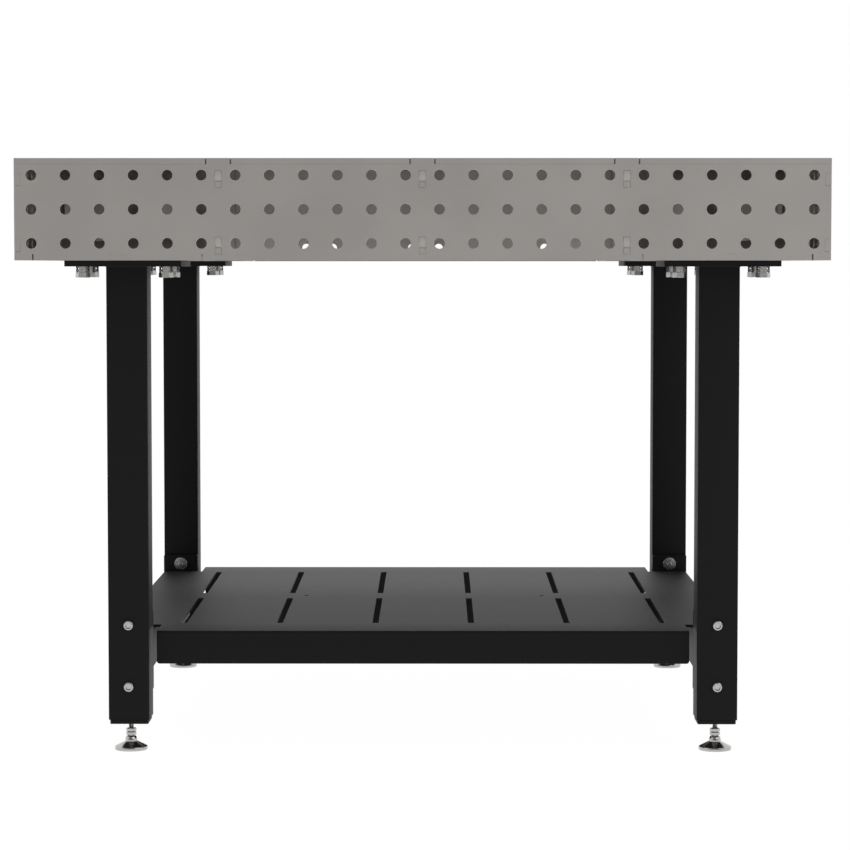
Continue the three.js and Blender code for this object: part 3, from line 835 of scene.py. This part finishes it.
def wave_washer(number, bottom):
    """One wave washer of a stack, which touches its neighbours crest to crest."""
    share = WASHER_STACK / WASHER_COUNT
    swing = (share - WASHER_THICKNESS) / 2
    middle = bottom + (number + 0.5) * share
    rings = []
    for step in range(WASHER_STEPS):
        angle = 2 * math.pi * step / WASHER_STEPS
        wave = WASHER_WAVES * angle / (2 * math.pi) + number / 2
        lift = middle + swing * (4 * abs(wave % 1 - 0.5) - 1)
        low = lift - WASHER_THICKNESS / 2
        high = lift + WASHER_THICKNESS / 2
        section = [(WASHER_INSIDE, low), (WASHER_OUTSIDE, low), (WASHER_OUTSIDE, high), (WASHER_INSIDE, high)]
        along, across = math.cos(angle), math.sin(angle)
        rings.append([(radius * along, radius * across, height) for radius, height in section])
    shape = Shape()
    shape.loft(rings, closed=True)
    return shape


def make_rail_bolt(name, corner):
    """A round socket-head bolt through the leg, with a washer and a nut inside the rail's end plate."""
    low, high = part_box(name)
    side = CORNERS[corner][1]
    outside = low.y if side < 0 else high.y
    inside = high.y if side < 0 else low.y
    length = abs(inside - outside)
    height = (low.z + high.z) / 2
    nut_base = length - RAIL_NUT
    rings = [(RAIL_HEAD_RADIUS, RAIL_HEAD)]
    rings += [(RAIL_HEAD_RADIUS - inward, z) for inward, z in RAIL_HEAD_CURVE]
    rings += [(RAIL_SOCKET / 2 + RAIL_SOCKET_BORDER, 0.0)]
    socket = [(RAIL_SOCKET + wider, z) for wider, z in RAIL_SOCKET_CURVE]
    socket += [(RAIL_SOCKET, RAIL_SOCKET_DEPTH)]
    head = [[(x, y, z) for x, y in circle(0, 0, radius, HEAD_SIDES)] for radius, z in rings]
    head += [[(x, y, z) for x, y in hexagon_ring(flats, HEAD_SIDES)] for flats, z in socket]
    cap = Shape()
    cap.loft(head)
    rod = [(RAIL_BOLT_RADIUS, RAIL_HEAD - HEAD_OVERLAP), (RAIL_BOLT_RADIUS, nut_base + OVERLAP)]
    shank = turned(rod, ROD_SIDES)
    turn = Matrix.Rotation(-math.pi / 2 if side < 0 else math.pi / 2, 4, "X")
    centre = (low.x + high.x) / 2
    place = Matrix.Translation((centre, outside, height)) @ turn
    piece(name + "_body", together(cap, shank), "zinc", matrix=place, replaces=[name])
    washer_base = nut_base - RAIL_WASHER
    edge = RAIL_WASHER_EDGE
    profile = [(RAIL_BOLT_RADIUS + edge, washer_base), (RAIL_WASHER_RADIUS - edge, washer_base),
               (RAIL_WASHER_RADIUS, washer_base + edge), (RAIL_WASHER_RADIUS, nut_base - edge),
               (RAIL_WASHER_RADIUS - edge, nut_base), (RAIL_BOLT_RADIUS + edge, nut_base)]
    piece(name.replace("bolt", "washer"), turned(profile, HEAD_SIDES, closed=True), "zinc", matrix=place)
    nut_top = nut_base + RAIL_NUT - RAIL_BOLT_END
    nut = hexagon(RAIL_NUT_FLATS, (nut_base, nut_top), chamfer_bottom=False)
    tip = turned([(RAIL_BOLT_RADIUS, nut_top - OVERLAP), (RAIL_BOLT_RADIUS, length - RAIL_TIP_EDGE),
                  (RAIL_BOLT_RADIUS - RAIL_TIP_EDGE, length)], ROD_SIDES)
    piece(name.replace("bolt", "nut"), together(nut, tip), "zinc", matrix=place)


def make_rail(name):
    """A shelf rail: square tube between two drilled end plates, with weld beads."""
    low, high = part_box(name)
    centre_x = (low.x + high.x) / 2
    shelf_low = SHELF_BOX[1].z - SHEET
    half = RAIL_WIDTH / 2
    centre_z = shelf_low - half
    end = high.y
    tube_end = end - END_PLATE_THICKNESS
    lie = Matrix(((1, 0, 0, centre_x), (0, 0, 1, 0), (0, -1, 0, centre_z), (0, 0, 0, 1)))
    piece(name + "_tube", tube_shape(half, -tube_end, tube_end), "black_paint", matrix=lie, replaces=[name])
    plate_half = (high.x - low.x) / 2
    window = rounded_rectangle(RAIL_WINDOW_HALF, RAIL_WINDOW_HALF, RAIL_WINDOW_CORNER)
    hole = RAIL_BOLT_RADIUS + BOLT_CLEARANCE
    holes = [circle(0, centre_z - middle.z, hole) for middle in rail_bolt_middles()]
    square = rectangle(-plate_half, plate_half, centre_z - high.z, centre_z - low.z)
    outline = rounded(square, END_PLATE_CORNER)
    for number, start in enumerate((-end, tube_end)):
        shape = plate(outline, [window] + holes, END_PLATE_THICKNESS, CUT_EDGE)
        place = lie @ Matrix.Translation((0, 0, start))
        piece(f"{name}_end_plate_{number + 1}", shape, "black_paint", matrix=place)
    for number, place in enumerate((-tube_end, tube_end)):
        path = [(x, y, place) for x, y in rounded_rectangle(half, half, TUBE_CORNER)]
        piece(f"{name}_weld_{number + 1}", weld(path), "black_paint", matrix=lie)


def rail_bolt_middles():
    """The middles of a corner's two rail bolts."""
    boxes = [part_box(f"rail_bolt_front_left_{place}") for place in ("lower", "upper")]
    return [(low + high) / 2 for low, high in boxes]


# Shelf

def bent(x, y, z):
    """Where a point of the flat shelf goes when its front and rear edges are bent down."""
    low, high = SHELF_BOX
    start = high.y - SHELF_BEND
    side = -1 if y < 0 else 1
    past = abs(y) - start
    if past <= 0:
        return (x, y, high.z - SHEET + z)
    radius = SHELF_BEND - SHEET + z
    arc = SHELF_BEND_LENGTH
    if past < arc:
        angle = past / arc * math.pi / 2
        return (x, side * (start + radius * math.sin(angle)), high.z - SHELF_BEND + radius * math.cos(angle))
    return (x, side * (start + radius), high.z - SHELF_BEND - (past - arc))


def make_shelf():
    """The shelf: one sheet with slots, bent down at the front and the rear."""
    low, high = SHELF_BOX
    narrow = SHELF_FLANGE_HALF_WIDTH
    wide = high.x
    start = high.y - SHELF_BEND
    drop = high.z - low.z - SHELF_BEND
    end = start + SHELF_BEND_LENGTH + drop
    bends = [start + SHELF_BEND_LENGTH * step / SHELF_BEND_STEPS for step in range(SHELF_BEND_STEPS + 1)]
    rows = [(narrow, -place) for place in reversed(bends)]
    side = rounded(rectangle(narrow, wide, -SHELF_NOTCH, SHELF_NOTCH), SHELF_SIDE_CORNER, 3)
    corner = SHELF_FLANGE_CORNER
    front = [(-narrow, -end), (narrow, -end), (narrow, -end + 3 * corner), (-narrow, -end + 3 * corner)]
    front = rounded(front, [corner, corner, 0, 0], 4)[:-2]
    half = len(front) // 2
    right = front[half:] + rows + side + [(x, -y) for x, y in reversed(rows)]
    right += [(x, -y) for x, y in reversed(front[half:])]
    left = [(-x, y) for x, y in reversed(right)]
    outline = right + left
    count = len(outline)
    first = len(front) - half
    lines = []
    for offset in range(len(bends)):
        lines.append((first + offset, count - 1 - first - offset))
        back = len(right) - 1 - first - offset
        lines.append((back, count - 1 - back))
    half_slot = SLOT_WIDTH / 2
    slots = [rectangle(x - half_slot, x + half_slot, *row) for x in SLOT_COLUMNS for row in SLOT_ROWS]
    slots = [rounded(slot, SLOT_CORNER, 3) for slot in slots]
    holes = [circle(x, y, SHELF_HOLE_RADIUS) for x, y in SHELF_HOLES]
    shape = plate(outline, slots + holes, SHEET, SHELF_EDGE, SHELF_HOLE_RIM, lines, bent)
    piece("shelf_tray", shape, "black_paint", replaces=["shelf"])


def make_beam():
    """The channel under the shelf, bent from sheet and open below."""
    low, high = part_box("shelf_beam")
    half_y = (high.y - low.y) / 2
    deep = high.z - low.z
    section = [(-half_y, 0), (-half_y, deep), (half_y, deep), (half_y, 0)]
    outer = rounded(section, [0, BEAM_WALL, BEAM_WALL, 0])
    inner = [(y * (half_y - BEAM_WALL) / half_y, z * (deep - BEAM_WALL) / deep) for y, z in reversed(outer)]
    shape = plate(list(reversed(outer + inner)), [], high.x - low.x, BEAM_EDGE)
    stand = Matrix(((0, 0, 1, low.x), (1, 0, 0, (low.y + high.y) / 2), (0, 1, 0, low.z), (0, 0, 0, 1)))
    piece("shelf_channel", shape, "black_paint", matrix=stand, replaces=["shelf_beam"])


# Feet

def threaded(low, high, end, radius):
    """A rod with a helical ridge up to a height, and plain from there to its end, which stays in the leg."""
    rows = round((high - low) / THREAD_PITCH * THREAD_ROWS)
    rings = []
    for row in range(rows + 1):
        height = low + (high - low) * row / rows
        ring = []
        for side in range(THREAD_SIDES):
            turn = side / THREAD_SIDES
            phase = (height / THREAD_PITCH - turn) % 1
            ridge = radius - THREAD_DEPTH * abs(2 * phase - 1)
            angle = 2 * math.pi * turn
            ring.append((ridge * math.cos(angle), ridge * math.sin(angle), height))
        rings.append(ring)
    core = radius - THREAD_DEPTH
    for size, height in ((core, high + THREAD_END), (core, end - THREAD_END), (core - THREAD_END, end)):
        rings.append([(x, y, height) for x, y in circle(0, 0, size, THREAD_SIDES)])
    shape = Shape()
    shape.loft(rings)
    return shape


def make_foot(corner):
    """A levelling foot: stem, lock nut and swivel pad."""
    stem_low, stem_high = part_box("foot_stem_" + corner)
    nut_low, nut_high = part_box("foot_nut_" + corner)
    pad_low, pad_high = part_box("foot_pad_" + corner)
    centre = (pad_low + pad_high) / 2
    place = Matrix.Translation((centre.x, centre.y, 0))
    hex_top = nut_low.z - FOOT_HEX_GAP
    hex_bottom = hex_top - FOOT_HEX
    ball = BALL_RADIUS
    ball_centre = stem_low.z + ball
    neck = STEM_RADIUS
    neck_angle = math.acos(neck / ball)
    sweep = neck_angle + math.pi / 2
    angles = [sweep * (step + 1) / BALL_STEPS - math.pi / 2 for step in range(BALL_STEPS)]
    profile = [(AXIS_RADIUS, stem_low.z)]
    profile += [(ball * math.cos(a), ball_centre + ball * math.sin(a)) for a in angles]
    profile += [(neck, hex_bottom + OVERLAP)]
    stem = together(turned(profile), hexagon(FOOT_HEX_FLATS, (hex_bottom, hex_top), face=FOOT_HEX_FACE),
                    threaded(hex_top - OVERLAP, hex_top + THREAD_LENGTH, stem_high.z, STEM_RADIUS))
    piece("foot_stem_body_" + corner, stem, "zinc", "stem_" + corner, place, ["foot_stem_" + corner])
    nut = hexagon(FOOT_HEX_FLATS, (nut_low.z, nut_high.z), NUT_BORE_RADIUS, face=FOOT_HEX_FACE)
    piece("foot_lock_nut_" + corner, nut, "zinc", "nut_" + corner, place, ["foot_nut_" + corner])
    radius = (pad_high.x - pad_low.x) / 2
    pad = turned(pad_profile(radius, pad_low.z, pad_high.z, ball_centre))
    piece("foot_swivel_pad_" + corner, pad, "zinc", "pad_" + corner, place, ["foot_pad_" + corner])


def pad_profile(radius, low, high, ball_centre):
    """The swivel pad's section: rim, cone, dome, mouth and the socket round the ball."""
    edge = PAD_RIM_EDGE
    bevel = PAD_RIM_ROUND
    rim = low + PAD_RIM
    outside = [(AXIS_RADIUS, low), (radius - edge, low), (radius - bevel, low + bevel), (radius, low + edge),
               (radius, rim - edge), (radius - bevel, rim - bevel), (radius - edge, rim),
               (PAD_NECK_RADIUS, ball_centre - PAD_NECK_DROP)]
    angles = [math.pi / 2 * step / DOME_STEPS for step in range(DOME_STEPS + 1)]
    width = PAD_NECK_RADIUS - PAD_DOME_RADIUS
    base = ball_centre - PAD_NECK_DROP + PAD_DOME_STEP
    dome = [(PAD_DOME_RADIUS + width * math.cos(a), base + (high - base) * math.sin(a)) for a in angles]
    socket = BALL_RADIUS + SOCKET_GAP
    start = math.acos(PAD_MOUTH_RADIUS / socket)
    turns = [start - (start + math.pi / 2) * step / BALL_STEPS for step in range(BALL_STEPS)]
    inside = [(socket * math.cos(a), ball_centre + socket * math.sin(a)) for a in turns]
    return outside + dome + [(PAD_MOUTH_RADIUS, high)] + inside + [(AXIS_RADIUS, ball_centre - socket)]


# Camera, floor and light

def make_camera():
    """A long lens a little right of the middle, just under the table top."""
    data = bpy.data.cameras.new("camera")
    data.sensor_width = 36
    data.lens = CAMERA_LENS
    data.clip_end = 100
    camera = bpy.data.objects.new("camera", data)
    camera.location = CAMERA_PLACE
    camera.rotation_euler = (math.pi / 2 - CAMERA_PITCH, 0, CAMERA_TURN)
    bpy.context.scene.collection.objects.link(camera)
    bpy.context.scene.camera = camera


def make_floor():
    """A plain pale floor that keeps only a faint contact shadow."""
    data = bpy.data.meshes.new("floor")
    corners = [(x, y, 0) for x, y in rectangle(-FLOOR_HALF, FLOOR_HALF, -FLOOR_HALF, FLOOR_HALF)]
    data.from_pydata(corners, [], [(0, 1, 2, 3)])
    floor = bpy.data.objects.new("floor", data)
    made = bpy.data.materials.new("floor")
    made.use_nodes = True
    shader = made.node_tree.nodes["Principled BSDF"]
    shader.inputs["Base Color"].default_value = (0.02, 0.02, 0.02, 1)
    shader.inputs["Roughness"].default_value = 1.0
    shader.inputs["Specular IOR Level"].default_value = 0.0
    shader.inputs["Emission Color"].default_value = (1, 1, 1, 1)
    shader.inputs["Emission Strength"].default_value = FLOOR_GLOW
    data.materials.append(made)
    bpy.context.scene.collection.objects.link(floor)


def make_light():
    """A white studio that is darker towards the front, a soft key lamp and a lamp from behind."""
    world = bpy.data.worlds.new("studio")
    world.use_nodes = True
    bpy.context.scene.world = world
    nodes = world.node_tree.nodes
    links = world.node_tree.links
    background = nodes["Background"]
    place = nodes.new("ShaderNodeTexCoord")
    split = nodes.new("ShaderNodeSeparateXYZ")
    shade = nodes.new("ShaderNodeMapRange")
    shade.interpolation_type = "SMOOTHSTEP"
    shade.inputs["From Min"].default_value = FADE[0]
    shade.inputs["From Max"].default_value = FADE[1]
    shade.inputs["To Min"].default_value = FRONT_BRIGHTNESS
    shade.inputs["To Max"].default_value = 1.0
    seen = nodes.new("ShaderNodeLightPath")
    brighter = nodes.new("ShaderNodeMath")
    brighter.operation = "MAXIMUM"
    links.new(place.outputs["Generated"], split.inputs["Vector"])
    links.new(split.outputs["Y"], shade.inputs["Value"])
    links.new(shade.outputs["Result"], brighter.inputs[0])
    links.new(seen.outputs["Is Camera Ray"], brighter.inputs[1])
    links.new(brighter.outputs["Value"], background.inputs["Strength"])
    background.inputs["Color"].default_value = (1, 1, 1, 1)
    for name, values in LAMPS.items():
        light = bpy.data.lights.new(name, "AREA")
        light.size = values["size"]
        light.energy = values["power"]
        lamp = bpy.data.objects.new(name, light)
        lamp.location = values["place"]
        aim = Vector(values["aim"]) - lamp.location
        lamp.rotation_euler = aim.to_track_quat("-Z", "Y").to_euler()
        bpy.context.scene.collection.objects.link(lamp)
    bpy.context.scene.view_settings.view_transform = "Standard"


# Everything in its place

make_camera()
make_floor()
make_light()
make_top()
make_panel("front_panel", False, 0.0)
make_panel("rear_panel", False, math.pi)
make_panel("right_panel", True, math.pi / 2)
make_panel("left_panel", True, -math.pi / 2)
for label, line in zip(("left", "centre", "right"), RIB_LINES):
    make_rib("rib_" + label, False, math.pi / 2, (line, 0, 0))
for label, line in zip(("front", "centre", "rear"), RIB_LINES):
    make_rib("cross_rib_" + label, True, 0.0, (0, line, 0))
for corner in CORNERS:
    make_corner_plate(corner)
    make_leg(corner)
    for i, (x, y) in enumerate(flange_bolt_places(corner)):
        if corner.startswith("rear"):
            i = 3 - i
        make_flange_bolt(f"flange_bolt_{corner}_{i + 1}", x, y)
    for level in ("upper", "lower"):
        make_rail_bolt(f"rail_bolt_{corner}_{level}", corner)
    make_foot(corner)
make_rail("rail_left")
make_rail("rail_right")
make_shelf()
make_beam()
